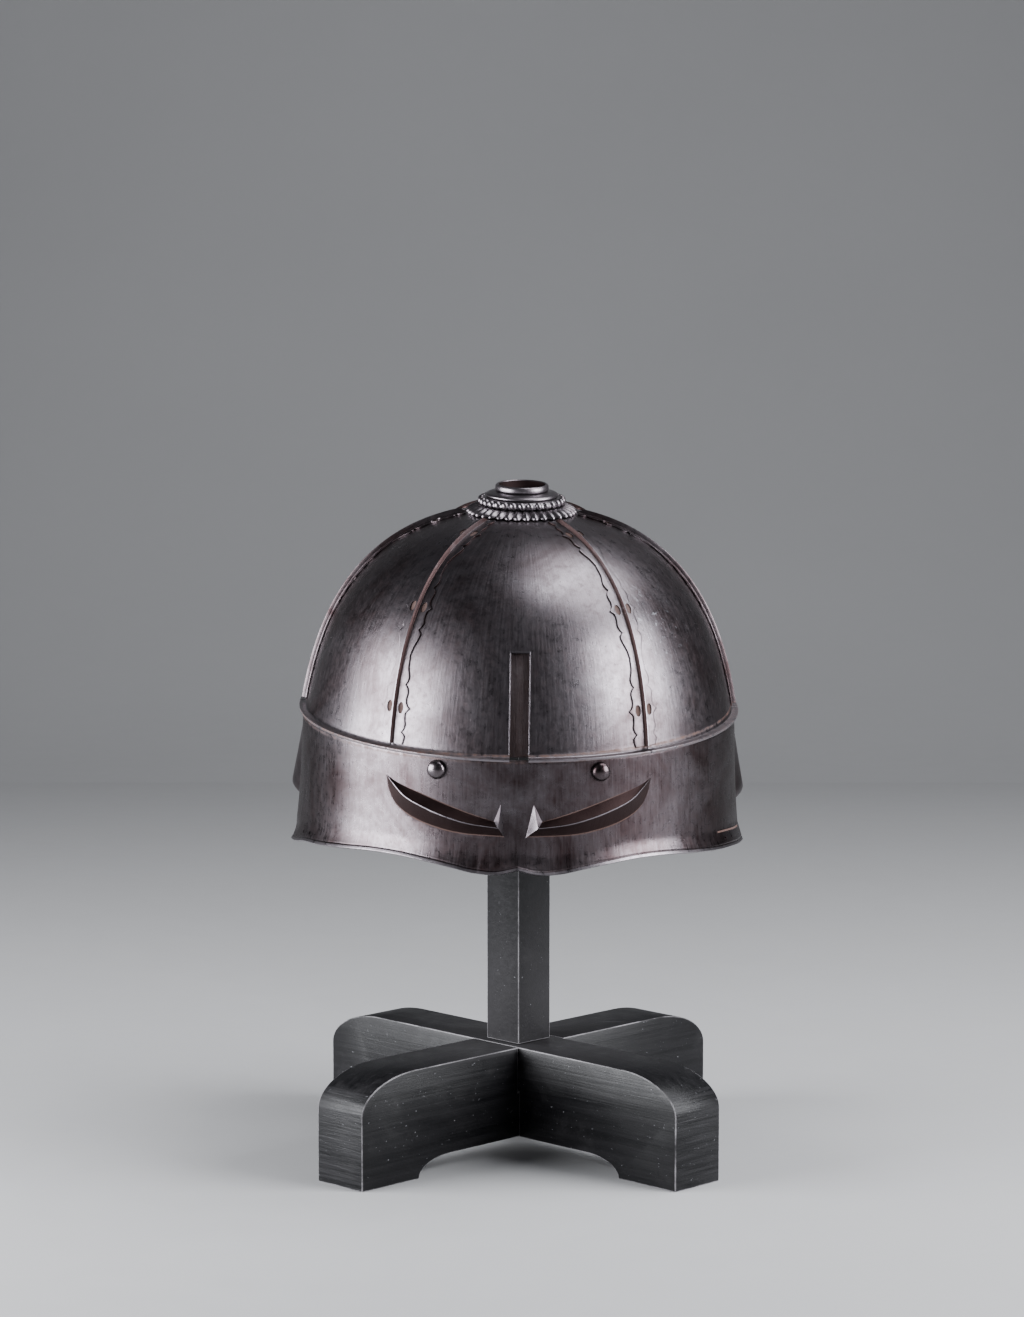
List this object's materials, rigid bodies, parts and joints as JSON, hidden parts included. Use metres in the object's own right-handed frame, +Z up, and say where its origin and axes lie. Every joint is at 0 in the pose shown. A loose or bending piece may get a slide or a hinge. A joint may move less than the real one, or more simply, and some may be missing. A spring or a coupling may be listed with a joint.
{
  "type": "samurai helmet on a wooden stand",
  "caption": "Domed iron helmet of ribbed plates with a visor turned out at its edge, raised brows, a neck band and a tiered crown finial, on a plain black wooden stand with crossed feet.",
  "frame": {"origin": "centre of the whole object's plan, on the surface that the stand's feet rest on", "axes": "+Z up; the helmet faces -Y; left and right are as seen from the front, so left is -X"},
  "size_m": [0.2397, 0.2562, 0.3522],
  "materials": {
    "iron": "satin russet iron with brushed highlights",
    "rusty_iron": "rough brown iron",
    "black_wood": "black paint with worn edges"
  },
  "bodies": {
    "root": {"bowl_plate_front": "iron", "bowl_plate_front_right": "iron", "bowl_plate_back_right": "iron", "bowl_plate_back": "iron", "bowl_plate_back_left": "iron", "bowl_plate_front_left": "iron", "crest_slot_floor": "rusty_iron", "seam_strip_front_left": "iron", "seam_strip_front_right": "iron", "seam_strip_right": "iron", "seam_strip_back_right": "iron", "seam_strip_back_left": "iron", "seam_strip_left": "iron", "visor": "iron", "visor_rivet_left": "iron", "visor_rivet_right": "iron", "neck_band": "iron", "finial_petal_ring": "iron", "finial_bead_ring": "iron", "finial_smooth_ring": "iron", "finial_collar": "iron", "stand_bar_lower": "black_wood", "stand_bar_upper": "black_wood", "stand_post": "black_wood"}
  },
  "joints": []
}
